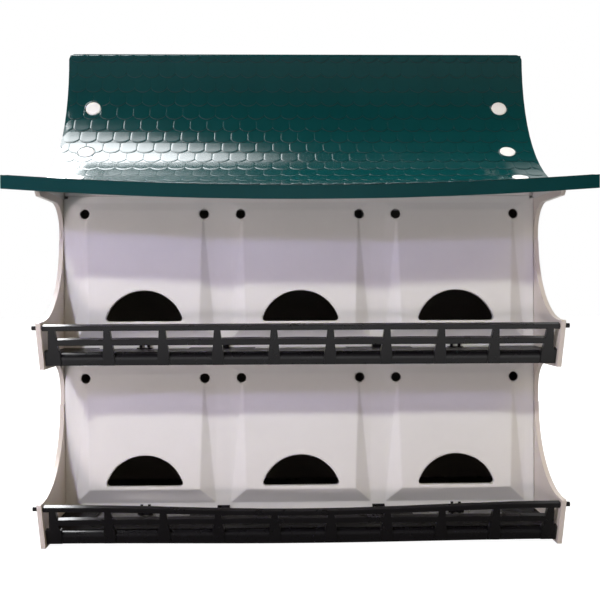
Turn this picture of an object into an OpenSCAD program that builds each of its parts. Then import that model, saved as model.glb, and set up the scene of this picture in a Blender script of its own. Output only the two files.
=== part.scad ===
// Two-storey martin house: twelve rooms, six to a side, under a curved roof.
// Origin at the middle of the underside, +Z up, the front faces -Y.
// In side profiles the first number is the distance outwards from the wall
// plane of a room front (d) and the second is the height (z).

/* [Rooms] */
// Width of a room, divider centre to divider centre
room_w = 152.4; // [130:0.1:180]
// Extra width of the rooms at the two ends
end_margin = 3; // [0:0.5:8]
// Clear depth of a room, spine wall to room front
room_depth = 151; // [130:1:180]
// Height from one storey's floor to the next
storey_h = 161; // [150:0.5:190]

/* [Walls] */
// Thickness of the moulded room fronts
front_t = 2.5; // [2:0.1:4]
// Thickness of the end walls and gables
end_t = 4.2; // [3:0.1:6]
// Thickness of the spine walls and room dividers
divider_t = 3; // [2:0.1:5]
// Assembly clearance between neighbouring pieces
fit_gap = 0.3; // [0.1:0.05:0.5]

/* [Entrances] */
// Width of the flat sill of a crescent entrance
entrance_w = 76.2; // [60:0.1:80]
// Height of the crescent above its sill
entrance_h = 30.2; // [26:0.1:34]
// Height of the sill above the storey's underside
sill_z = 40.9; // [39:0.1:60]
// Radius of the crescent's two lower corners
entrance_corner_r = 3; // [1:0.5:5]
// Depth of the collar round an entrance, front face to back
collar_depth = 6; // [4:0.5:8]
// Wall thickness of that collar
collar_t = 2; // [1.5:0.5:3]

/* [Vents] */
// Diameter of a vent hole
vent_d = 9.3; // [5:0.1:12]
// Distance of a vent from the middle of its room
vent_x = 58.2; // [45:0.1:60]
// Height of the vents above the storey's underside
vent_z = 146; // [120:0.5:148]

/* [Room front bulge] */
// How far the bulge stands out at its lower edge
bulge_out = 8; // [6:0.5:12]
// How far the bulge stands out near its top
bulge_top_out = 1.3; // [0.5:0.1:4]
// Flat strip left between the bulges of two rooms
bulge_strip = 14.4; // [10:0.1:20]
// Height where the chamfer under the bulge begins
chamfer_z = 23.3; // [20:0.1:26]
// Height of the lower edge of the bulge's face
face_z = 38; // [34:0.1:38.5]
// Width of the sloping flank beside the face, at the lower edge
flank_w = 15.5; // [10:0.5:18]
// Width of that flank near the top
flank_top_w = 12; // [1:0.5:13]
// Height of the top edge of the bulge's face
face_top_z = 150; // [140:0.5:152]
// Height where the bulge dies out in the wall
bulge_top_z = 157; // [154:0.5:160]

// Width of the relief notch at each top corner of a room front
notch_w = 4; // [2:0.5:6]
// Height of that notch, half of it in the floor or ceiling tray above
notch_h = 6; // [3:0.5:6]

/* [Floors and porches] */
// Height of a floor's top above the storey's underside
floor_z = 14; // [12:0.5:18]
// Thickness of the floor and porch plates and their ribs
floor_t = 3; // [2:0.1:4]
// Height of the ribs' lower edges above the storey's underside
rib_z = 3.2; // [1:0.1:6]
// Height of a porch's tread above the floor plate
tread_h = 1.2; // [0.5:0.1:2]
// Radius of the rounded edge where a tread meets the fascia
porch_edge_r = 5; // [1:0.5:6]
// How much lower the lower front porch's fascia hangs at mid-length
porch_bow = 1.9; // [0:0.1:2.5]
// Width of the smooth recess in the tread before an entrance
recess_w = 89; // [60:1:110]
// Depth of that recess, measured out from the room front
recess_depth = 25; // [10:1:40]
// Width of the latch block on a porch at each room divider
latch_w = 12; // [8:0.5:20]
// Depth of a latch block, front to back
latch_depth = 7; // [4:0.5:12]
// Height of a latch block above the tread
latch_h = 5.5; // [3:0.5:8]
// Spacing of the two tabs on the porch before each end room
tab_pitch = 7.4; // [5:0.2:12]
// Width of a tab
tab_w = 2.6; // [1.5:0.1:4]
// Height of the tabs above the tread
tab_h = 7.5; // [4:0.5:8]
// Height of the rim round the ceiling
ceiling_rim = 2.5; // [1:0.5:4]

/* [End walls] */
// Reach of an end wall in front of the room fronts, at its foot
foot_out = 68; // [58:0.1:76]
// Reach of an end wall at its nose, beside the handrail
nose_out = 84.5; // [76:0.1:90]
// Height of the nose above the storey's underside
nose_z = 42; // [40:0.5:50]
// How far an end wall's foot stands out beyond the lean of the porch's front
foot_toe = 3; // [0:0.5:6]
// Radius of the concave sweep above the nose
sweep_r = 78; // [70:1:84]
// Radius of the fillet under the next storey
crown_r = 28; // [15:1:30]
// Reach of the roof arm at the top of the upper end walls
arm_out = 84; // [75:1:92]
// Depth of the roof arm below the top of the upper end wall
arm_h = 6.2; // [5:0.1:12]
// How far the arm's tip slopes back to its lower edge
arm_slope = 4; // [0:0.5:8]

/* [Railings] */
// Diameter of the pins at the ends of the handrail
pin_d = 4.3; // [3:0.1:5]
// How far a pin stands out beyond the end wall
pin_out = 4.5; // [3:0.5:10]
// Height of the handrail's axis above the storey's underside
rail_z = 38; // [34:0.1:38.4]
// Height of the handrail's section
rail_h = 4.6; // [3.5:0.1:6]
// Thickness of the railing, front to back
rail_t = 4.6; // [4:0.1:6]
// Height of the middle bar's axis above the storey's underside
bar_z = 25; // [22:0.1:27]
// Height of the middle bar's section at the posts
bar_h = 5.3; // [3:0.1:6]
// Rise of the middle bar's arched top edge between two posts
bar_rise = 0.5; // [0:0.1:2]
// How far the railing lies inside the end walls' front edge
rail_inset = 1.6; // [0.5:0.1:3]
// How far the posts lap over the fascia of the porch
post_lap = 1; // [0.5:0.1:2]
// Railing bays to a room
bays = 3; // [2:1:4]
// Distance of an end post from the end wall
end_post_in = 8; // [7:0.1:14]
// Width of a post under the handrail
post_top_w = 5.2; // [4:0.1:8]
// Width of a post just above its flared foot
post_ankle_w = 8.8; // [6:0.1:10]
// Height of that place above the tread
ankle_h = 4.6; // [2:0.1:7]
// Width of a post where it stands on the porch
post_foot_w = 10.5; // [8:0.1:14]
// Width of the boot round the foot of an end post
boot_w = 14; // [10:0.5:18]
// Height of the boot's top above the storey's underside
boot_z = 17; // [15:0.5:20]
// How far the handrail of the lower front porch sags in its middle
rail_sag = 6; // [0:0.1:8]

/* [Roof] */
// Reach of the roof beyond each end wall
roof_overhang = 25.8; // [15:0.1:40]
// Thickness of the roof's skin
roof_t = 2.5; // [2:0.1:4]
// Radius of the roof's concave slope
roof_r = 171; // [165:1:180]
// Distance of each slope's top edge from the ridge line
ridge_half = 6; // [4:0.5:8]
// Level length of the eave beyond the foot of the curve
eave_l = 75; // [70:1:85]
// Height of the fascia along the eave
fascia_h = 11.9; // [8:0.1:16]
// Fall of the eave from the foot of the curve to the fascia
eave_fall = 1.6; // [1:0.1:5]
// How much lower the eave hangs at mid-length than at its ends
eave_droop = 9.4; // [0:0.1:11]
// Depth of the rim along the roof's two ends
end_rim = 3.5; // [3.5:0.5:12]
// Radius of the ridge's end corners
ridge_corner_r = 7; // [3:0.5:10]
// Height of the back slope's lip above the ridge
ridge_lip = 1.8; // [0.5:0.1:3]
// Diameter of the gable bosses that lock the roof
boss_d = 17; // [12:0.1:20]
// Depth of a boss below the roof's outer face
boss_l = 16; // [12:0.5:20]
// How far a boss stands proud of the roof
boss_proud = 0.6; // [0:0.1:1.5]

/* [Pole mount] */
// Side of the square pad under the lower floor
pad_w = 110; // [100:1:130]
// Spacing of the four pole flange holes
pole_hole_pitch = 76.2; // [60:0.1:80]
// Diameter of those holes
pole_hole_d = 6.8; // [5:0.1:8]

/* [Hidden] */
$fn = 48;
slack = 1; // overrun of a cutting shape past the face it cuts

rooms = 3; // rooms side by side
inner_half = rooms * room_w / 2 + end_margin; // inside face of the end walls
outer_half = inner_half + end_t; // outside face of the end walls
piece_half = inner_half - fit_gap; // end of a piece that fits between them
inner_y = divider_t / 2 + room_depth; // inside face of the room fronts
wall_y = inner_y + front_t; // outside face of the room fronts
front_top = storey_h + rib_z; // top of a storey's room fronts
house_h = 2 * storey_h; // top of the upper end walls
bulge_half = (room_w - bulge_strip) / 2; // half the width of a bulge
entrance_r = (pow(entrance_w / 2, 2) + pow(entrance_h, 2)) / (2 * entrance_h);

lean = (nose_out - foot_out) / nose_z; // outward lean of the porch's front
lean_angle = atan(lean);
sweep_d = nose_out - 5; // centre of the concave sweep's arc
sweep_z = nose_z + 1 + sweep_r;
tread_z = floor_z + tread_h; // top of a porch
rail_back = (rail_t / 2 + rail_inset) / cos(lean_angle); // mid-plane behind the edge
rail_d = foot_out + lean * rail_z - rail_back; // handrail's axis
porch_in = (rail_inset + post_lap) / cos(lean_angle); // fascia behind the edge
end_post_x = piece_half - end_post_in;

roof_l = 2 * (outer_half + roof_overhang);
ridge_d = -wall_y + fit_gap / 2; // where the two slopes meet
curve_d = roof_r + ridge_half - wall_y; // foot of the slope's curve
eave_end = curve_d + eave_l; // reach of the eave beyond the wall plane
curve_z = house_h + 12; // roof surface at the foot of the curve
roof_top = curve_z + roof_r; // ridge height
droop_from = -20; // where the eave's droop begins
boss_angles = [22.5, 45, 66]; // places of the bosses along the curve
boss_x = inner_half; // bosses centred on the gables' inner faces

BLACK = "#141416";
WHITE = "#e9e6e4";
GREEN = "#0b4a4b";

// points of an arc about centre, from angle a0 to a1
function arc(centre, r, a0, a1, steps) =
    [for (i = [0 : steps])
        let (a = a0 + (a1 - a0) * i / steps)
        centre + r * [cos(a), sin(a)]];

// ---- placing ----

// stands a side profile drawn as [d, z] on the front wall plane and
// extrudes it along X between x0 and x1
module along_x(x0, x1) {
    translate([x1, -wall_y, 0])
        rotate([90, 0, -90])
            linear_extrude(x1 - x0)
                children();
}

module at_back() {
    rotate([0, 0, 180])
        children();
}

module at_right() {
    mirror([1, 0, 0])
        children();
}

module upstairs() {
    translate([0, 0, storey_h])
        children();
}

// front-to-back symmetric plate, drawn as the half in front as [d, z]
module both_halves(x0, x1) {
    along_x(x0, x1)
        children();
    mirror([0, 1, 0])
        along_x(x0, x1)
            children();
}

// ---- floors ----

module rib_grid(z0, z1) {
    for (side = [-1, 1]) {
        translate([-piece_half, side * (wall_y - floor_t / 2) - floor_t / 2, z0])
            cube([2 * piece_half, floor_t, z1 - z0]);
        translate([side * (piece_half - floor_t / 2) - floor_t / 2, -wall_y, z0])
            cube([floor_t, 2 * wall_y, z1 - z0]);
        translate([side * room_w / 2 - floor_t / 2, -wall_y, z0])
            cube([floor_t, 2 * wall_y, z1 - z0]);
    }
    translate([-piece_half, -floor_t / 2, z0])
        cube([2 * piece_half, floor_t, z1 - z0]);
}

module floor_tray() {
    translate([-piece_half, -wall_y, floor_z - floor_t])
        cube([2 * piece_half, 2 * wall_y, floor_t]);
    rib_grid(rib_z, floor_z - floor_t);
}

module lower_floor() {
    color(BLACK)
        difference() {
            union() {
                floor_tray();
                translate([-pad_w / 2, -pad_w / 2, 0])
                    cube([pad_w, pad_w, floor_z]);
            }
            for (x = [-1, 1], y = [-1, 1])
                translate([x * pole_hole_pitch / 2, y * pole_hole_pitch / 2, -slack])
                    cylinder(d = pole_hole_d, h = floor_z + 2 * slack);
        }
}

module ceiling() {
    color(WHITE)
        translate([0, 0, storey_h + front_top]) {
            difference() {
                translate([-piece_half, -wall_y, 0])
                    cube([2 * piece_half, 2 * wall_y, floor_t + ceiling_rim]);
                translate([-piece_half + floor_t, -wall_y + floor_t, floor_t])
                    cube([2 * (piece_half - floor_t), 2 * (wall_y - floor_t), ceiling_rim + slack]);
                corner_notches(0);
                at_back()
                    corner_notches(0);
            }
        }
}

// ---- inner walls, halved into each other like an egg crate ----

module half_slot(z0, z1) {
    translate([-divider_t / 2 - fit_gap, -divider_t / 2 - fit_gap, z0])
        cube([divider_t + 2 * fit_gap, divider_t + 2 * fit_gap, z1 - z0]);
}

wall_mid_z = (floor_z + front_top) / 2;

module spine_wall() {
    color(WHITE)
        difference() {
            translate([-piece_half, -divider_t / 2, floor_z])
                cube([2 * piece_half, divider_t, front_top - floor_z]);
            for (side = [-1, 1])
                translate([side * room_w / 2, 0, 0])
                    half_slot(floor_z - slack, wall_mid_z);
        }
}

module divider() {
    color(WHITE)
        translate([-room_w / 2, 0, 0])
            difference() {
                translate([-divider_t / 2, -inner_y + fit_gap, floor_z])
                    cube([divider_t, 2 * (inner_y - fit_gap), front_top - floor_z]);
                half_slot(wall_mid_z, front_top + slack);
            }
}

// ---- room fronts ----

// crescent entrance, its sill on the X axis, grown outwards by grow
module entrance_shape(grow = 0) {
    big_z = entrance_h - entrance_r;
    corner_z = entrance_corner_r - big_z;
    reach = entrance_r - entrance_corner_r;
    corner_a = asin(corner_z / reach);
    corner_x = reach * cos(corner_a);
    corner_r = entrance_corner_r + grow;
    polygon(concat(
        arc([corner_x, entrance_corner_r], corner_r, -90, corner_a, 4),
        arc([0, big_z], entrance_r + grow, corner_a, 180 - corner_a, 24),
        arc([-corner_x, entrance_corner_r], corner_r, 180 - corner_a, 270, 4)
    ));
}

// solid wedge of one room's bulge, with a root that runs back into the wall
module bulge() {
    face_half = bulge_half - flank_w;
    face_top_half = bulge_half - flank_top_w;
    points = [
        [-bulge_half, 0, chamfer_z], [bulge_half, 0, chamfer_z],
        [bulge_half, 0, bulge_top_z], [-bulge_half, 0, bulge_top_z],
        [-face_half, -bulge_out, face_z], [face_half, -bulge_out, face_z],
        [face_top_half, -bulge_top_out, face_top_z],
        [-face_top_half, -bulge_top_out, face_top_z]
    ];
    faces = [
        [1, 2, 3, 0], [7, 6, 5, 4], [4, 5, 1, 0],
        [2, 6, 7, 3], [6, 2, 1], [5, 6, 1], [7, 4, 0], [3, 7, 0]
    ];
    translate([0, -wall_y, 0]) {
        polyhedron(points, faces);
        translate([-bulge_half, 0, chamfer_z])
            cube([2 * bulge_half, slack, bulge_top_z - chamfer_z]);
    }
}

// cuts through a room front along Y
module through_front(z) {
    translate([0, -inner_y + slack, z])
        rotate([90, 0, 0])
            linear_extrude(front_t + bulge_out + 2 * slack)
                children();
}

module collar() {
    intersection() {
        bulge();
        translate([0, -wall_y - bulge_out + collar_depth, sill_z])
            rotate([90, 0, 0])
                linear_extrude(collar_depth + slack)
                    entrance_shape(collar_t);
    }
}

module room_front() {
    for (room = [-1 : 1])
        translate([room * room_w, 0, 0])
            children();
}

// relief at a room front's two top corners, half in the tray above it
module corner_notches(z) {
    for (side = [-1, 1])
        translate([side * piece_half - notch_w, -wall_y - slack, z - notch_h / 2])
            cube([2 * notch_w, floor_t + 2 * slack, notch_h]);
}

module front_wall() {
    color(WHITE)
        difference() {
            union() {
                difference() {
                    union() {
                        translate([-piece_half, -wall_y, floor_z])
                            cube([2 * piece_half, front_t, front_top - floor_z]);
                        room_front()
                            bulge();
                    }
                    room_front()
                        translate([0, front_t, 0])
                            bulge();
                }
                room_front()
                    collar();
            }
            room_front() {
                through_front(sill_z)
                    entrance_shape();
                for (side = [-1, 1])
                    translate([side * vent_x, 0, 0])
                        through_front(vent_z)
                            circle(d = vent_d, $fn = 32);
            }
            corner_notches(front_top);
        }
}

// ---- end walls ----

// half profile of an end wall, from the house's middle to its front edge
module end_profile(crown) {
    difference() {
        polygon(concat(
            [[-wall_y, 0], [foot_out + foot_toe, 0], [nose_out, nose_z], [nose_out - 3, nose_z + 2]],
            crown,
            [[-wall_y, storey_h]]
        ));
        intersection() {
            translate([sweep_d, sweep_z])
                circle(r = sweep_r, $fn = 96);
            square([nose_out, sweep_z]);
        }
    }
}

module pin_hole() {
    translate([-outer_half - slack, -wall_y - rail_d, rail_z])
        rotate([0, 90, 0])
            cylinder(d = pin_d + 2 * fit_gap, h = end_t + 2 * slack, $fn = 32);
}

// everything in front of the waist is cut back to the fillet under a crown
module under_crown(centre_d, centre_z, r, waist_z) {
    translate([centre_d, centre_z])
        circle(r = r, $fn = 64);
    translate([centre_d - r, waist_z])
        square([r, centre_z - waist_z]);
    translate([centre_d, waist_z])
        square([nose_out, centre_z - waist_z + r]);
}

module lower_end_wall() {
    color(WHITE)
        difference() {
            both_halves(-outer_half, -inner_half)
                difference() {
                    end_profile([[nose_out, nose_z + 2], [nose_out, storey_h]]);
                    under_crown(crown_r, storey_h - crown_r + 1, crown_r, sweep_z);
                }
            pin_hole();
            mirror([0, 1, 0])
                pin_hole();
        }
}

module upper_end_wall() {
    color(WHITE)
        difference() {
            both_halves(-outer_half, -inner_half)
                difference() {
                    end_profile([
                        [arm_out - arm_slope, nose_z + 2], [arm_out - arm_slope, storey_h - arm_h],
                        [arm_out, storey_h - arm_h / 2], [arm_out, storey_h]
                    ]);
                    under_crown(crown_r, storey_h - crown_r - arm_h, crown_r, sweep_z);
                    translate([crown_r, sweep_z])
                        square([arm_out, storey_h - arm_h - sweep_z]);
                }
            pin_hole();
            mirror([0, 1, 0])
                pin_hole();
        }
}

// ---- porches ----

// reach of a porch's fascia at height z
function fascia_d(z) = foot_out + lean * z - porch_in;

// centre of the rounding between the leaning fascia and the tread
edge_z = tread_z - porch_edge_r;
edge_d = fascia_d(edge_z) - porch_edge_r / cos(lean_angle);

function porch_edge(a0, a1) = arc([edge_d, edge_z], porch_edge_r, a0, a1, 8);

module porch_outline() {
    polygon(concat(
        [[fit_gap, rib_z], [fascia_d(rib_z), rib_z]],
        porch_edge(-lean_angle, 90),
        [[fit_gap, tread_z]]
    ));
}

// hollow under a tread, inside its ribs and fascia
module porch_cell() {
    open_z = rib_z - slack;
    polygon([
        [fit_gap + floor_t, open_z], [fascia_d(open_z) - floor_t, open_z],
        [fascia_d(edge_z) - floor_t, edge_z], [edge_d, tread_z - floor_t],
        [fit_gap + floor_t, tread_z - floor_t]
    ]);
}

// room centres at the two ends, where the tabs stand
module end_rooms() {
    for (side = [-1, 1])
        translate([side * room_w, 0, 0])
            children();
}

module latch() {
    along_x(-latch_w / 2, latch_w / 2)
        polygon([
            [fit_gap, tread_z - slack], [latch_depth, tread_z - slack],
            [latch_depth, tread_z + latch_h / 3], [latch_depth / 2, tread_z + latch_h],
            [fit_gap, tread_z + latch_h]
        ]);
}

module tabs() {
    tab_depth = latch_depth / 3;
    for (side = [-1, 1])
        along_x((side * tab_pitch - tab_w) / 2, (side * tab_pitch + tab_w) / 2)
            translate([latch_depth / 3, floor_z - slack])
                square([tab_depth, tread_h + tab_h + slack]);
    along_x(-tab_pitch, tab_pitch)
        translate([fit_gap, floor_z - slack])
            square([latch_depth, tread_h + slack]);
}

// lower edge of a fascia, bowed down by depth at mid-length
module bowed_edge(depth) {
    steps = 24;
    xs = [for (i = [0 : steps]) piece_half * (2 * i / steps - 1)];
    fascia_t = floor_t * cos(lean_angle);
    translate([0, -wall_y - fascia_d(rib_z), rib_z])
        rotate([90 + lean_angle, 0, 0])
            translate([0, 0, -fascia_t])
                linear_extrude(fascia_t)
                    polygon(concat(
                        [for (x = xs) [x, sag_at(x, depth) / cos(lean_angle)]],
                        [[piece_half, slack], [-piece_half, slack]]
                    ));
}

module porch(bow) {
    cells = 2 * rooms;
    cell_w = (2 * piece_half - floor_t) / cells;
    color(BLACK) {
        difference() {
            along_x(-piece_half, piece_half)
                porch_outline();
            for (cell = [0 : cells - 1])
                along_x(-piece_half + floor_t + cell * cell_w, -piece_half + (cell + 1) * cell_w)
                    porch_cell();
            room_front()
                along_x(-recess_w / 2, recess_w / 2)
                    translate([-slack, floor_z])
                        square([recess_depth + slack, tread_h + slack]);
        }
        for (side = [-1, 1])
            translate([side * room_w / 2, 0, 0])
                latch();
        end_rooms()
            tabs();
        if (bow > 0)
            bowed_edge(bow);
    }
}

// ---- railings: drawn flat as [x, s], then leaned along the porch's front ----

module in_railing_plane() {
    translate([0, -wall_y - rail_d, rail_z])
        rotate([90 + lean_angle, 0, 0])
            translate([0, 0, -rail_t / 2])
                linear_extrude(rail_t)
                    children();
}

// how far below its ends a sagging handrail hangs at x
function sag_at(x, sag) = -sag * (1 + cos(180 * x / piece_half)) / 2;

// distance along the leaning plane from the handrail's axis to height z
function down_to(z) = (z - rail_z) / cos(lean_angle);

// posts from a room divider outwards, and those between two dividers
outer_posts = [for (i = [0 : bays]) room_w / 2 + i * (end_post_x - room_w / 2) / bays];
middle_posts = [for (i = [1 : bays - 1]) room_w * (i / bays - 1 / 2)];
post_xs = concat([for (i = [bays : -1 : 0]) -outer_posts[i]], middle_posts, outer_posts);

module handrail(sag) {
    steps = 24;
    xs = [for (i = [0 : steps]) piece_half * (2 * i / steps - 1)];
    polygon(concat(
        [for (x = xs) [x, sag_at(x, sag) + rail_h / 2]],
        [for (i = [steps : -1 : 0]) [xs[i], sag_at(xs[i], sag) - rail_h / 2]]
    ));
}

module middle_bar() {
    steps = 8;
    translate([0, down_to(bar_z)]) {
        translate([-end_post_x, -bar_h / 2])
            square([2 * end_post_x, bar_h]);
        for (i = [0 : len(post_xs) - 2])
            let (x0 = post_xs[i], bay = post_xs[i + 1] - x0)
            polygon(concat(
                [[x0, 0]],
                [for (k = [0 : steps])
                    [x0 + bay * k / steps, bar_h / 2 + bar_rise * sin(180 * k / steps)]],
                [[x0 + bay, 0]]
            ));
    }
}

module post_row(sag) {
    foot = down_to(rib_z) - rail_t;
    ankle = down_to(tread_z + ankle_h);
    for (x = post_xs)
        translate([x, 0])
            polygon([
                [-post_foot_w / 2, foot], [post_foot_w / 2, foot],
                [post_foot_w / 2, down_to(tread_z)], [post_ankle_w / 2, ankle],
                [post_top_w / 2, sag_at(x, sag)], [-post_top_w / 2, sag_at(x, sag)],
                [-post_ankle_w / 2, ankle], [-post_foot_w / 2, down_to(tread_z)]
            ]);
    for (x = [-piece_half, piece_half - boot_w])
        translate([x, foot])
            square([boot_w, down_to(boot_z) - foot]);
}

// what the posts' feet are cut back to: the porch, and all below it
module under_railing() {
    along_x(-piece_half - slack, piece_half + slack)
        polygon(concat(
            [[0, tread_z]],
            porch_edge(90, -lean_angle),
            [[fascia_d(rib_z), rib_z], [nose_out, rib_z], [nose_out, -nose_out], [0, -nose_out]]
        ));
}

module railing(sag) {
    color(BLACK)
        difference() {
            union() {
                in_railing_plane() {
                    handrail(sag);
                    middle_bar();
                    post_row(sag);
                }
                for (side = [-1, 1])
                    translate([side * (piece_half - slack), -wall_y - rail_d, rail_z])
                        rotate([0, side * 90, 0])
                            cylinder(d = pin_d, h = outer_half + pin_out - piece_half + slack, $fn = 32);
            }
            under_railing();
        }
}

// ---- roof ----

// how far the eave hangs below its ends, at [d] and x
function droop(d, x) =
    -eave_droop * (1 - pow(2 * x / roof_l, 2))
    * pow(max(0, d - droop_from) / (eave_end - droop_from), 2);

function on_curve(a, depth) =
    [curve_d - (roof_r + depth) * cos(a), roof_top - (roof_r + depth) * sin(a)];

function on_eave(u, depth) =
    [curve_d + (eave_l - depth) * u, curve_z - eave_fall * u * u - depth];

// one face of a slope at a depth below its outer surface, ridge to fascia
function slope_line(depth) =
    let (steps = 15, eave_steps = 5, top_a = asin(depth / (roof_r + depth)))
    concat(
        [[ridge_d, roof_top - depth]],
        [for (i = [0 : steps]) on_curve(top_a + (90 - top_a) * i / steps, depth)],
        [for (i = [1 : eave_steps]) on_eave(i / eave_steps, depth)],
        [[eave_end - depth, curve_z - eave_fall - fascia_h]]
    );

// skin between two lines of equal length, swept along X with the eave drooping
module roof_sweep(outer, inner, x0, x1, steps) {
    n = len(outer);
    points = [
        for (k = [0 : steps], line = [outer, inner], p = line)
            let (x = x0 + (x1 - x0) * k / steps)
            [x, -wall_y - p[0], p[1] + droop(p[0], x)]
    ];
    skins = [
        for (k = [0 : steps - 1], i = [0 : n - 2])
            let (a = 2 * n * k + i, b = a + 2 * n, c = a + n, d = b + n)
            each [[a, b + 1, a + 1], [a, b, b + 1], [c, c + 1, d + 1], [c, d + 1, d]]
    ];
    edges = [
        for (k = [0 : steps - 1])
            let (a = 2 * n * k, b = a + 2 * n)
            each [
                [a, b + n, b], [a, a + n, b + n],
                [a + n - 1, b + 2 * n - 1, a + 2 * n - 1],
                [a + n - 1, b + n - 1, b + 2 * n - 1]
            ]
    ];
    ends = [
        for (i = [0 : n - 2])
            let (last = 2 * n * steps + i)
            each [
                [i, i + 1, i + n + 1], [i, i + n + 1, i + n],
                [last, last + n + 1, last + 1], [last, last + n, last + n + 1]
            ]
    ];
    polyhedron(points, concat(skins, edges, ends));
}

// runs a cylinder square to the slope, from one depth to another
module square_to_slope(angle, r, depth0, depth1) {
    centre = on_curve(angle, depth0);
    translate([0, -wall_y - centre[0], centre[1]])
        rotate([90 - angle, 0, 0])
            mirror([0, 0, 1])
                cylinder(r = r, h = depth1 - depth0);
}

module boss_places() {
    for (side = [-1, 1])
        translate([side * boss_x, 0, 0])
            children();
}

module roof_slope() {
    difference() {
        union() {
            roof_sweep(slope_line(0), slope_line(roof_t), -roof_l / 2, roof_l / 2, 12);
            for (side = [-1, 1])
                translate([side * (roof_l - roof_t) / 2, 0, 0])
                    end_rim_plate();
        }
        boss_places()
            for (a = boss_angles)
                square_to_slope(a, boss_d / 2 + fit_gap, -slack, roof_t + slack);
        for (side = [-1, 1])
            translate([side * (roof_l / 2 - ridge_corner_r), 0, roof_top - ridge_corner_r])
                ridge_corner(side);
    }
}

// rim that stiffens one end of a slope, bedded in the skin
module end_rim_plate() {
    steps = 15;
    start = acos(min(1, (curve_d - ridge_d) / (roof_r + end_rim)));
    outer = concat(
        [for (i = [0 : steps]) on_curve(start + (90 - start) * i / steps, roof_t / 2)],
        [on_eave(1, roof_t / 2)]
    );
    inner = concat(
        [on_eave(1, end_rim)],
        [for (i = [steps : -1 : 0]) on_curve(start + (90 - start) * i / steps, end_rim)]
    );
    along_x(-roof_t / 2, roof_t / 2)
        polygon(concat(outer, inner));
}

// what is cut away to round one end corner of the ridge
module ridge_corner(side) {
    rotate([90, 0, 0])
        linear_extrude(4 * ridge_half, center = true)
            difference() {
                translate([side > 0 ? 0 : -2 * ridge_corner_r, 0])
                    square([2 * ridge_corner_r, 2 * ridge_corner_r]);
                circle(r = ridge_corner_r);
            }
}

module front_roof() {
    color(GREEN)
        roof_slope();
}

module back_roof() {
    color(GREEN)
        at_back() {
            roof_slope();
            lip_half = roof_l / 2 - 2 * ridge_corner_r;
            translate([-lip_half, -fit_gap / 2 - roof_t, roof_top - roof_t])
                cube([2 * lip_half, roof_t, roof_t + ridge_lip]);
        }
}

// ---- gables ----

function under_roof(p) = [p[0], p[1] - fit_gap + droop(p[0], inner_half)];

module gable_profile() {
    steps = 15;
    depth = roof_t + fit_gap;
    outline = concat(
        [[-wall_y, house_h], [arm_out, house_h]],
        [under_roof(on_eave((arm_out - curve_d) / (eave_l - depth), roof_t))],
        [for (i = [3 : -1 : 0])
            under_roof(on_eave(i / 4 * (arm_out - curve_d) / (eave_l - depth), roof_t))],
        [for (i = [steps - 1 : -1 : 0])
            let (p = on_curve(10 + 80 * i / steps, depth))
            [p[0], p[1] + droop(p[0], inner_half)]],
        [[-wall_y, on_curve(10, depth)[1]]]
    );
    polygon(outline);
}

module gable() {
    color(WHITE) {
        both_halves(-outer_half, -inner_half)
            gable_profile();
        translate([-boss_x, 0, 0])
            for (face = [0, 1])
                mirror([0, face, 0])
                    for (a = boss_angles)
                        square_to_slope(a, boss_d / 2, -boss_proud, boss_l);
    }
}

lower_floor();
upstairs() color(BLACK) floor_tray();  // upper_floor
ceiling();
lower_end_wall();  // lower_left_end_wall
at_right() lower_end_wall();  // lower_right_end_wall
upstairs() upper_end_wall();  // upper_left_end_wall
upstairs() at_right() upper_end_wall();  // upper_right_end_wall
gable();  // left_gable
at_right() gable();  // right_gable
spine_wall();  // lower_spine_wall
upstairs() spine_wall();  // upper_spine_wall
divider();  // lower_left_divider
at_right() divider();  // lower_right_divider
upstairs() divider();  // upper_left_divider
upstairs() at_right() divider();  // upper_right_divider
front_wall();  // lower_front_wall
at_back() front_wall();  // lower_back_wall
upstairs() front_wall();  // upper_front_wall
upstairs() at_back() front_wall();  // upper_back_wall
porch(porch_bow);  // lower_front_porch
at_back() porch(0);  // lower_back_porch
upstairs() porch(0);  // upper_front_porch
upstairs() at_back() porch(0);  // upper_back_porch
railing(rail_sag);  // lower_front_railing
at_back() railing(0);  // lower_back_railing
upstairs() railing(0);  // upper_front_railing
upstairs() at_back() railing(0);  // upper_back_railing
front_roof();
back_roof();
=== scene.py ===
import math

import bpy
import bmesh
from mathutils import Matrix, Vector


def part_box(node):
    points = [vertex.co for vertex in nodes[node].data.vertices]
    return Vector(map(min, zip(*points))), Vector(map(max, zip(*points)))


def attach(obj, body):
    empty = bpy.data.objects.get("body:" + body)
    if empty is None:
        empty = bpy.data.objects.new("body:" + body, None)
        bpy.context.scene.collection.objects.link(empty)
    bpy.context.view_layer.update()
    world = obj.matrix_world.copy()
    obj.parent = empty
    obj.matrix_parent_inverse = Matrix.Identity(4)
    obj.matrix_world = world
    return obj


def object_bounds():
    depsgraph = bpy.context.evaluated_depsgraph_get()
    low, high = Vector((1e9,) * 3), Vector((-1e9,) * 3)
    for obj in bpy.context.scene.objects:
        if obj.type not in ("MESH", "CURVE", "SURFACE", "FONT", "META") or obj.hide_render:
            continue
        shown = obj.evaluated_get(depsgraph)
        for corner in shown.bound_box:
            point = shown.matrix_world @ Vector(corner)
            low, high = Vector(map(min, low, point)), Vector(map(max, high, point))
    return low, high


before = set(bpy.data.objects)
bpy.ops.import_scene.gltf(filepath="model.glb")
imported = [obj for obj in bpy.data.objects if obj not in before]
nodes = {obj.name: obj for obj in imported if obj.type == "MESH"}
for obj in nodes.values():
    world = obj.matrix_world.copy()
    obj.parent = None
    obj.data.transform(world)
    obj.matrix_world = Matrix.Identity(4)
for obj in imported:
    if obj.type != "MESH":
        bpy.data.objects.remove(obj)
cad_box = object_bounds()

# ---------------------------------------------------------------- places, in metres

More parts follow.
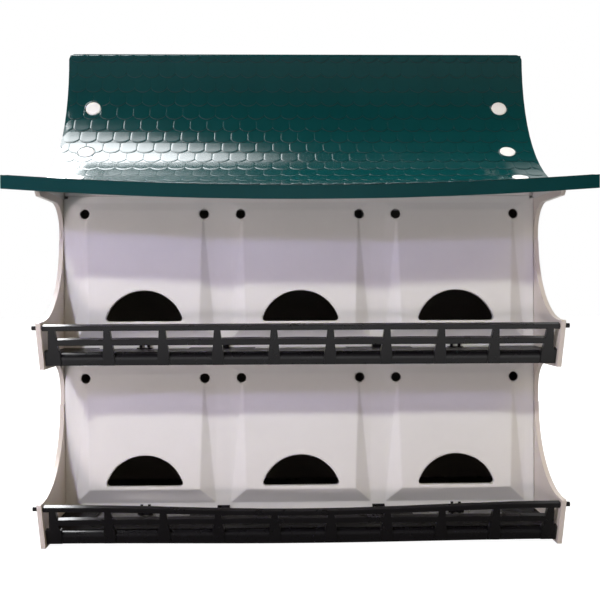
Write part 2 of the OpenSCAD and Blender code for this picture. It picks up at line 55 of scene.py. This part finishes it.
ROOF_LO, ROOF_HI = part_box("front_roof")
ROOF_HALF = ROOF_HI.x
ROOF_TOP = ROOF_HI.z
ROOF_R = 0.171  # radius of the concave slope
RIDGE_HALF = 0.006  # from the ridge line to a slope's top edge
CURVE_T = RIDGE_HALF + ROOF_R  # foot of the curve, outwards from the ridge
EAVE_T = -ROOF_LO.y  # reach of the eave
EAVE_L = EAVE_T - CURVE_T
ARC_L = ROOF_R * math.pi / 2
SLOPE_L = ARC_L + EAVE_L
EAVE_FALL = 0.0016  # from the curve's foot to the eave's edge
EAVE_DROOP = 0.0094  # sag of the eave at mid-length
DROOP_T = 0.135  # where the sag begins
BOSS_ANGLES = (22.5, 45, 66)  # gable bosses along the arc, in degrees
BOSS_R = 0.0085
BOSS_X = -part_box("upper_left_end_wall")[1].x


# ---------------------------------------------------------------- materials

NOISE_SPAN = (0.3, 0.7)  # where most of a noise's values lie
GRAIN = 0.00004  # depth of the plastic's fine grain


def new_material(name):
    material = bpy.data.materials.new(name)
    material.use_nodes = True
    tree = material.node_tree
    return material, tree, tree.nodes["Principled BSDF"]


def noise(tree, coords, scale, detail=3.0, rough=0.5):
    node = tree.nodes.new("ShaderNodeTexNoise")
    node.inputs["Scale"].default_value = scale
    node.inputs["Detail"].default_value = detail
    node.inputs["Roughness"].default_value = rough
    tree.links.new(coords, node.inputs["Vector"])
    return node.outputs["Fac"]


def ramp(tree, factor, low, high, colour_low, colour_high):
    node = tree.nodes.new("ShaderNodeValToRGB")
    points = node.color_ramp.elements
    points[0].position = low
    points[1].position = high
    points[0].color = (*colour_low, 1)
    points[1].color = (*colour_high, 1)
    tree.links.new(factor, node.inputs["Fac"])
    return node.outputs["Color"]


def map_range(tree, value, span, levels=(0.0, 1.0), step="LINEAR"):
    """The value taken from its span to the levels, and held at them outside it."""
    node = tree.nodes.new("ShaderNodeMapRange")
    node.interpolation_type = step
    node.inputs["From Min"].default_value, node.inputs["From Max"].default_value = span
    node.inputs["To Min"].default_value, node.inputs["To Max"].default_value = levels
    tree.links.new(value, node.inputs["Value"])
    return node.outputs["Result"]


def xyz(tree, node_type, output):
    """The three parts of a node's vector output."""
    split = tree.nodes.new("ShaderNodeSeparateXYZ")
    tree.links.new(tree.nodes.new(node_type).outputs[output], split.inputs[0])
    return split.outputs


def bump(tree, height, distance, strength, below=None):
    node = tree.nodes.new("ShaderNodeBump")
    node.inputs["Distance"].default_value = distance
    node.inputs["Strength"].default_value = strength
    tree.links.new(height, node.inputs["Height"])
    if below is not None:
        tree.links.new(below, node.inputs["Normal"])
    return node.outputs["Normal"]


def moulded_plastic(name, light, dark, rough, smudge=0.05, wave=0.0003, edge=0.0006):
    """Injection moulded plastic: flow mottling, smudged gloss, fine grain, soft edges."""
    material, tree, shader = new_material(name)
    coords = tree.nodes.new("ShaderNodeTexCoord").outputs["Object"]
    mottle = noise(tree, coords, scale=22, detail=4, rough=0.6)
    tree.links.new(ramp(tree, mottle, *NOISE_SPAN, dark, light), shader.inputs["Base Color"])
    smudges = noise(tree, coords, scale=45)
    gloss = map_range(tree, smudges, NOISE_SPAN, (rough - smudge, rough + smudge))
    tree.links.new(gloss, shader.inputs["Roughness"])
    soft = tree.nodes.new("ShaderNodeBevel")
    soft.samples = 4
    soft.inputs["Radius"].default_value = edge
    waves = bump(tree, noise(tree, coords, scale=14, detail=1), wave, 0.35, soft.outputs["Normal"])
    fine = bump(tree, noise(tree, coords, scale=1900, detail=2), GRAIN, 0.5, waves)
    tree.links.new(fine, shader.inputs["Normal"])
    return material


def arithmetic(tree, operation, first, *rest):
    """A math node; numbers are its settings, sockets its links."""
    node = tree.nodes.new("ShaderNodeMath")
    node.operation = operation
    for socket, value in zip(node.inputs, (first, *rest)):
        if isinstance(value, (int, float)):
            socket.default_value = value
        else:
            tree.links.new(value, socket)
    return node.outputs["Value"]


ROOM_W = 0.1524
RECESS_HALF = 0.0445  # half the width of the recess before an entrance
RECESS_Y = 0.1805  # its outer edge
PLASTIC_GLOSS = 0.5
TREAD_GLOSS = 0.01


def porch_plastic(name, light, dark, rough):
    """The black plastic with a grained tread that is matt but for a smooth recess before each door."""
    material = moulded_plastic(name, light, dark, rough)
    tree = material.node_tree
    shader = tree.nodes["Principled BSDF"]
    x, y, _ = xyz(tree, "ShaderNodeTexCoord", "Object")
    _, _, upward = xyz(tree, "ShaderNodeNewGeometry", "True Normal")
    flat = arithmetic(tree, "GREATER_THAN", upward, 0.9)
    across = arithmetic(tree, "WRAP", x, ROOM_W / 2, -ROOM_W / 2)
    beside = arithmetic(tree, "GREATER_THAN", arithmetic(tree, "ABSOLUTE", across), RECESS_HALF)
    beyond = arithmetic(tree, "GREATER_THAN", arithmetic(tree, "ABSOLUTE", y), RECESS_Y)
    tread = arithmetic(tree, "MULTIPLY", flat, arithmetic(tree, "MAXIMUM", beside, beyond))
    gloss = map_range(tree, tread, (0.0, 1.0), (PLASTIC_GLOSS, TREAD_GLOSS))
    tree.links.new(gloss, shader.inputs["Specular IOR Level"])
    return material


WHITE = moulded_plastic("white_plastic", (0.80, 0.785, 0.775), (0.77, 0.755, 0.745), 0.42, edge=0.0025)
# A darker, warmer copy of the same white plastic for the end walls: painted shade.
END_WALL_SHADE = moulded_plastic("warm_white_plastic", (0.71, 0.645, 0.60), (0.68, 0.615, 0.57), 0.42)
# A half-bright copy of the white plastic for the dividers and spine inside the house: painted shade.
INNER_SHADE = moulded_plastic("inner_white_painted_shade", (0.40, 0.39, 0.38), (0.36, 0.35, 0.34), 0.6)
BLACK_TONES = ((0.0045, 0.004, 0.005), (0.003, 0.0025, 0.0035))
BLACK = moulded_plastic("black_plastic", *BLACK_TONES, 0.30, edge=0.0011)
PORCH = porch_plastic("porch_plastic", *BLACK_TONES, 0.28)
GREEN = moulded_plastic("green_plastic", (0.0016, 0.042, 0.044), (0.001, 0.036, 0.038), 0.14,
                        smudge=0.01, wave=0.0002, edge=0.00005)
# A darker green for the scales' rounded edge bands and skirts: painted shade in the grooves and along the
# edges.
GROOVE_SHADE = moulded_plastic("green_groove_painted_shade", (0.0009, 0.021, 0.022), (0.0006, 0.016, 0.017), 0.40)


def dress_cad_nodes():
    for name, node in nodes.items():
        if name.endswith("roof"):
            material = GREEN
        elif "porch" in name:
            material = PORCH
        elif "railing" in name or name.endswith("_floor"):
            material = BLACK
        # dividers and spine: the half-bright copy, painted shade of the inside
        elif "divider" in name or "spine" in name:
            material = INNER_SHADE
        # end walls: the darker copy of the white plastic, painted shade
        elif "end_wall" in name:
            material = END_WALL_SHADE
        else:
            material = WHITE
        node.data.materials.clear()
        node.data.materials.append(material)


# ---------------------------------------------------------------- the roof's slope

def droop(x, t):
    """How far the eave hangs at x along the roof and t outwards from the ridge."""
    along = 1 - (x / ROOF_HALF) ** 2
    return -EAVE_DROOP * along * (max(0.0, t - DROOP_T) / (EAVE_T - DROOP_T)) ** 2


def on_slope(x, s, height=0.0):
    """A point of the front slope's outer face, s down from its top edge, height above it."""
    if s <= ARC_L:
        angle = s / ROOF_R
        reach = ROOF_R - height
        t = CURVE_T - reach * math.cos(angle)
        z = ROOF_TOP - reach * math.sin(angle)
    else:
        u = (s - ARC_L) / EAVE_L
        t = CURVE_T + EAVE_L * u
        z = ROOF_TOP - ROOF_R - EAVE_FALL * u * u + height
    return Vector((x, -t, z + droop(x, t)))


def back_place(x, s, height):
    """The same on the back slope, as the house turned half round."""
    p = on_slope(x, s, height)
    return Vector((-p.x, -p.y, p.z))


# ---------------------------------------------------------------- roof shingles

SHINGLE_W = 0.0186
SHINGLE_EXPOSURE = 0.0181
FIRST_TIP = 0.0099  # rounded edge of the first row, down from the slope's top edge
TIP_DEPTH = 0.0062  # how far the rounded edge dips at a shingle's middle
TIP_BEND = 0.92  # 1 would be half an ellipse
TIP_STRETCH = 1.35  # brings the bend to that depth
SEAM = 0.00002
SHINGLE_LOW = 0.00022  # height above the slope at a shingle's top
SHINGLE_HIGH = 0.00056  # and at its rounded edge
RIDGE_MARGIN = 0.001
EAVE_MARGIN = 0.0020
END_MARGIN = 0.0012
NARROWEST = 0.001  # what is narrower or shorter is left out
SHORTEST = 0.002
LAST_ROW = 0.003  # the least that the last row shows
END_FADE = 0.004  # over which the shingles sink into the roof at its ends
COLUMNS = (-1, -0.94, -0.8, -0.5, -0.17, 0.17, 0.5, 0.8, 0.94, 1)  # across a shingle
ROWS = (0, 0.3, 0.6, 0.8, 0.95, 1)  # down its exposed part
SIDE_FALL = 0.00016  # how far its sides are rounded down
TIP_FALL = 0.00020  # and its rounded edge
FALL_POWER = 24  # the higher, the narrower that rounding
SKIRT_DEPTH = 0.0002  # below the roof's face
RING = BOSS_R + 0.0012  # shingles end here, round a boss


def nearest_boss(x, s):
    """The nearest boss's place on the slope and the distance to it."""
    spots = [(side * BOSS_X, math.radians(a) * ROOF_R) for side in (-1, 1) for a in BOSS_ANGLES]
    spot = min(spots, key=lambda p: math.hypot(x - p[0], s - p[1]))
    return spot, math.hypot(x - spot[0], s - spot[1])


def outside_ring(x, s):
    """A place on the slope, moved out to the ring if it lies within it."""
    (boss_x, boss_s), distance = nearest_boss(x, s)
    if distance >= RING or distance < 1e-6:
        return x, s, False
    grow = RING / distance
    return boss_x + (x - boss_x) * grow, boss_s + (s - boss_s) * grow, True


def shingle(mesh, centre_x, tip_s, place):
    """One scale: a flat top that thickens down to a rounded edge, with skirts into the roof; the edge band
    and the skirts take a darker green, painted shade.
    """
    half = SHINGLE_W / 2 - SEAM
    limit = ROOF_HALF - END_MARGIN
    if abs(centre_x) > limit + half - NARROWEST:
        return
    top_s = tip_s - SHINGLE_EXPOSURE
    grid = []
    for down in ROWS:
        line = []
        for u in COLUMNS:
            x = min(max(centre_x + u * half, -limit), limit)
            edge_s = tip_s - TIP_DEPTH * TIP_STRETCH * (1 - math.sqrt(1 - TIP_BEND * u * u))
            s = min(max(top_s + (edge_s - top_s) * down, RIDGE_MARGIN), SLOPE_L - EAVE_MARGIN)
            height = SHINGLE_LOW + (SHINGLE_HIGH - SHINGLE_LOW) * down
            height -= max(SIDE_FALL * abs(u) ** FALL_POWER, TIP_FALL * down ** FALL_POWER)
            height *= min(1, (limit - abs(x)) / END_FADE)
            line.append((*outside_ring(x, s), height))
        grid.append(line)
    middle = len(COLUMNS) // 2
    if grid[-1][middle][1] - grid[0][middle][1] < SHORTEST:
        return
    verts = [[mesh.verts.new(place(x, s, height)) for x, s, _, height in line] for line in grid]
    for j in range(len(ROWS) - 1):
        for i in range(len(COLUMNS) - 1):
            corners = ((j, i), (j + 1, i), (j + 1, i + 1), (j, i + 1))
            if not all(grid[a][b][2] for a, b in corners):
                face = mesh.faces.new([verts[a][b] for a, b in corners])
                face.smooth = True
                # the band along the rounded edge takes the darker green, painted shade
                face.material_index = int(j == len(ROWS) - 2)
    last_row, last_column = len(ROWS) - 1, len(COLUMNS) - 1
    rim = [(j, 0) for j in range(last_row)] + [(last_row, i) for i in range(last_column)]
    rim += [(j, last_column) for j in range(last_row, -1, -1)]
    heads = [mesh.verts.new(verts[j][i].co) for j, i in rim]  # their own, so that the edge stays crisp
    feet = [mesh.verts.new(place(*grid[j][i][:2], -SKIRT_DEPTH)) for j, i in rim]
    for k in range(len(rim) - 1):
        (j0, i0), (j1, i1) = rim[k], rim[k + 1]
        if not (grid[j0][i0][2] and grid[j1][i1][2]):
            # the skirts take the darker green too, painted shade in the seams
            mesh.faces.new((heads[k], feet[k], feet[k + 1], heads[k + 1])).material_index = 1


def boss_collar(mesh, boss_x, boss_s, place):
    """Low moulded collar round a boss's hole."""
    section = ((0.00025, 0.0001), (0.0004, 0.00062), (0.0013, 0.0007), (0.0017, 0.0003))
    turns = 48
    loops = []
    for out, height in section:
        r = BOSS_R + out
        angles = [2 * math.pi * k / turns for k in range(turns)]
        loops.append([mesh.verts.new(place(boss_x + r * math.cos(a), boss_s + r * math.sin(a), height))
                      for a in angles])
    for inner, outer in zip(loops, loops[1:]):
        for k in range(turns):
            n = (k + 1) % turns
            mesh.faces.new((inner[k], outer[k], outer[n], inner[n])).smooth = True


def shingle_field(name, place):
    """All shingles and collars of one slope."""
    mesh = bmesh.new()
    row = 0
    tip_s = FIRST_TIP
    reach = int(ROOF_HALF / SHINGLE_W) + 2
    while tip_s - SHINGLE_EXPOSURE < SLOPE_L - EAVE_MARGIN - LAST_ROW:
        for i in range(-reach, reach):
            shingle(mesh, (i + 0.5 * (row % 2 == 0)) * SHINGLE_W, tip_s, place)
        row += 1
        tip_s = FIRST_TIP + row * SHINGLE_EXPOSURE
    for side in (-1, 1):
        for angle in BOSS_ANGLES:
            boss_collar(mesh, side * BOSS_X, math.radians(angle) * ROOF_R, place)
    finish_piece(mesh, name, (GREEN, GROOVE_SHADE))


def finish_piece(mesh, name, materials):
    """Turns a bmesh into a piece that rides on the part."""
    data = bpy.data.meshes.new(name)
    bmesh.ops.recalc_face_normals(mesh, faces=mesh.faces)
    mesh.to_mesh(data)
    mesh.free()
    for material in materials:
        data.materials.append(material)
    piece = bpy.data.objects.new(name, data)
    bpy.context.scene.collection.objects.link(piece)
    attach(piece, "root")


# ---------------------------------------------------------------- stage, light, camera

def seen_directly(tree):
    """Two masks: seen straight, mirrored or through glass; and only the last two."""
    path = tree.nodes.new("ShaderNodeLightPath").outputs
    mirrored = arithmetic(tree, "MAXIMUM", path["Is Glossy Ray"], path["Is Transmission Ray"])
    return arithmetic(tree, "MAXIMUM", path["Is Camera Ray"], mirrored), mirrored


MIRROR_SPAN = (0.30, 0.60)  # distances from the house's middle plane, and
MIRROR_HIDES = (1.0, 0.1)  # the share of the floor's glow that gloss doesn't show there: painted shade in the floor's mirror image


def stage_material(name, colour, glow):
    """A pale stage that glows to white; close to the house its glow is hidden from gloss, a painted shade
    in its mirror images.
    """
    material, tree, shader = new_material(name)
    coords = tree.nodes.new("ShaderNodeTexCoord").outputs["Object"]
    speckle = noise(tree, coords, scale=3, detail=2)
    tint = ramp(tree, speckle, *NOISE_SPAN, [c * 0.98 for c in colour], colour)
    tree.links.new(tint, shader.inputs["Base Color"])
    shader.inputs["Roughness"].default_value = 0.9
    shader.inputs["Specular IOR Level"].default_value = 0.1
    seen, mirrored = seen_directly(tree)
    _, y, _ = xyz(tree, "ShaderNodeNewGeometry", "Position")
    # painted shade: the floor's glow fades out of mirror images close to the house
    near = map_range(tree, arithmetic(tree, "ABSOLUTE", y), MIRROR_SPAN, MIRROR_HIDES)
    mirror_shade = arithmetic(tree, "MULTIPLY", mirrored, near)
    level = arithmetic(tree, "MULTIPLY", seen, arithmetic(tree, "SUBTRACT", 1.0, mirror_shade))
    shader.inputs["Emission Color"].default_value = (1, 1, 1, 1)
    tree.links.new(arithmetic(tree, "MULTIPLY", level, glow), shader.inputs["Emission Strength"])
    return material


FLOOR_SIZE = 14
FLOOR_COLOUR = (0.20, 0.20, 0.20)
FLOOR_GLOW = 0.97  # which the light on it brings to white


def build_stage():
    """The floor, just under the house's feet."""
    mesh = bmesh.new()
    bmesh.ops.create_grid(mesh, x_segments=1, y_segments=1, size=0.5)
    data = bpy.data.meshes.new("floor")
    mesh.to_mesh(data)
    mesh.free()
    data.materials.append(stage_material("pale_floor", FLOOR_COLOUR, FLOOR_GLOW))
    piece = bpy.data.objects.new("floor", data)
    piece.scale = (FLOOR_SIZE, FLOOR_SIZE, 1)
    piece.location.z = cad_box[0].z - 0.0004
    bpy.context.scene.collection.objects.link(piece)


WALL_T = 0.0025
WALL_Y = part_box("lower_front_wall")[1].y - WALL_T  # the room fronts' plane
AIM = Vector((0, WALL_Y, (cad_box[0].z + cad_box[1].z) / 2))
FILL_COLOUR = (0.84, 0.94, 1.0)


def soft_box(name, place, aim, width, height, watts, colour, mirrored=False):
    """A rectangular lamp that either lights the object or shows in its gloss."""
    lamp = bpy.data.lights.new(name, "AREA")
    lamp.shape = "RECTANGLE"
    lamp.size = width
    lamp.size_y = height
    lamp.energy = watts
    lamp.color = colour
    piece = bpy.data.objects.new(name, lamp)
    piece.location = place
    piece.rotation_euler = (aim - place).to_track_quat("-Z", "Y").to_euler()
    piece.visible_glossy = mirrored
    piece.visible_diffuse = not mirrored
    bpy.context.scene.collection.objects.link(piece)
    return lamp


FRONT_FADE = (0.10, 0.66)  # of y - x, from none to full
RIGHT_FADE = (0.10, -0.62)  # of x


def feather(lamp):
    """Softens a lamp's front edge, which runs at a slant, and its right edge."""
    lamp.use_nodes = True
    tree = lamp.node_tree
    x, y, _ = xyz(tree, "ShaderNodeNewGeometry", "Position")
    back = map_range(tree, arithmetic(tree, "SUBTRACT", y, x), FRONT_FADE, step="SMOOTHSTEP")
    left = map_range(tree, x, RIGHT_FADE, step="SMOOTHSTEP")
    emission = tree.nodes["Emission"]
    tree.links.new(arithmetic(tree, "MULTIPLY", back, left), emission.inputs["Strength"])


def build_lights():
    """A key with a weak second, a cool lamp close by, fills all round, and cards seen only in gloss."""
    left = AIM + 3.2 * Vector((-0.49, -1, 0.80))
    right = AIM + 2.5 * Vector((0.84, -1, 0.77))
    near = Vector((-0.46, -0.95, 0.54))
    low = Vector((-0.9, -1.3, 0.06))
    above = Vector((-0.10, 0.70, 2.3))
    behind = Vector((0.7, 2.4, 1.1))
    beside_right = Vector((2.4, 0.3, 0.9))
    beside_left = Vector((-2.2, 1.2, 0.9))
    card = Vector((-0.75, 1.75, 2.0))
    down = Vector((0, 0, -1))
    soft_box("key_left", left, AIM, 0.22, 0.22, 81, (0.957, 1.0, 0.857))
    soft_box("key_right", right, AIM, 0.18, 0.18, 6, (0.98, 1.0, 0.74))
    soft_box("cool_near", near, AIM, 0.06, 0.06, 2.2, (0.525, 0.49, 1.0))
    soft_box("cool_near_gloss", near, AIM, 0.06, 0.06, 0.5, (0.80, 0.80, 1.0), mirrored=True)
    soft_box("floor_bounce", low, AIM, 0.5, 0.1, 6, (1.0, 0.89, 0.92))
    soft_box("overhead", above, above + down, 1.2, 1.0, 90, (0.95, 1.0, 1.0))
    soft_box("back_fill", behind, AIM, 1.4, 0.9, 40, (1.0, 0.97, 0.94))
    soft_box("right_fill", beside_right, AIM, 0.8, 0.8, 17, FILL_COLOUR)
    soft_box("left_fill", beside_left, AIM, 0.8, 0.8, 11, FILL_COLOUR)
    feather(soft_box("overhead_gloss", card, card + down, 1.7, 5.1, 450, (0.97, 0.98, 1.0), mirrored=True))


def mixed(tree, factor, first, second):
    node = tree.nodes.new("ShaderNodeMixShader")
    for socket, value in zip(node.inputs, (factor, first, second)):
        tree.links.new(value, socket)
    return node.outputs[0]


EVEN_LIGHT = 0.24
EVEN_RIGHT = 0.40  # what the right side adds


def build_world():
    """Even light, and for gloss a white backdrop behind the house and a dimmer room before it."""
    world = bpy.data.worlds.new("studio")
    world.use_nodes = True
    bpy.context.scene.world = world
    tree = world.node_tree
    x, y, z = xyz(tree, "ShaderNodeTexCoord", "Generated")
    even = tree.nodes["Background"]
    even.inputs["Color"].default_value = (1.0, 0.80, 0.60, 1)
    right = arithmetic(tree, "MAXIMUM", x, 0.0)
    tree.links.new(arithmetic(tree, "MULTIPLY_ADD", right, EVEN_RIGHT, EVEN_LIGHT), even.inputs["Strength"])

    room = tree.nodes.new("ShaderNodeBackground")
    level = ramp(tree, arithmetic(tree, "MULTIPLY_ADD", z, 0.5, 0.5), 0.70, 0.93,
                 (0.26, 0.25, 0.25), (0.02, 0.02, 0.02))
    tree.links.new(level, room.inputs["Color"])
    sideways = arithmetic(tree, "ABSOLUTE", arithmetic(tree, "ADD", x, 0.03))
    aside = map_range(tree, sideways, (0.05, 0.35), (0.0, 0.8))
    low = map_range(tree, z, (0.20, 0.35), (1.0, 0.0))
    dimmed = arithmetic(tree, "MULTIPLY", aside, low)
    tree.links.new(arithmetic(tree, "SUBTRACT", 1.0, dimmed), room.inputs["Strength"])

    white = tree.nodes.new("ShaderNodeBackground")
    white.inputs["Color"].default_value = (1, 1, 1, 1)
    mirror = mixed(tree, map_range(tree, y, (0.35, 0.65)), room.outputs[0], white.outputs[0])
    seen, mirrored = seen_directly(tree)
    gloss = mixed(tree, mirrored, white.outputs[0], mirror)
    view = mixed(tree, seen, even.outputs[0], gloss)
    tree.links.new(view, tree.nodes["World Output"].inputs["Surface"])


CAMERA_PLACE = (-0.0181, -1.0029, 0.2282)
CAMERA_TURN = (1.20, -0.40, -0.23)  # yaw, pitch and roll, in degrees
CAMERA_LENS = 51.63


def build_camera():
    """A metre in front of the house, at the height of the lower storey's ceiling."""
    camera = bpy.data.cameras.new("camera")
    camera.sensor_width = 36
    camera.lens = CAMERA_LENS
    camera.clip_start = 0.05
    piece = bpy.data.objects.new("camera", camera)
    yaw, pitch, roll = (math.radians(angle) for angle in CAMERA_TURN)
    ahead = Vector((math.sin(yaw) * math.cos(pitch), math.cos(yaw) * math.cos(pitch), math.sin(pitch)))
    level = Vector((math.cos(yaw), -math.sin(yaw), 0))
    upright = level.cross(ahead)
    right = level * math.cos(roll) + upright * math.sin(roll)
    up = upright * math.cos(roll) - level * math.sin(roll)
    turn = Matrix((right, up, -ahead)).transposed().to_4x4()
    piece.matrix_world = Matrix.Translation(CAMERA_PLACE) @ turn
    bpy.context.scene.collection.objects.link(piece)
    bpy.context.scene.camera = piece


# ---------------------------------------------------------------- the scene

dress_cad_nodes()
shingle_field("front_shingles", on_slope)
shingle_field("back_shingles", back_place)
build_stage()
build_world()
build_lights()
build_camera()
bpy.context.scene.view_settings.view_transform = "Standard"
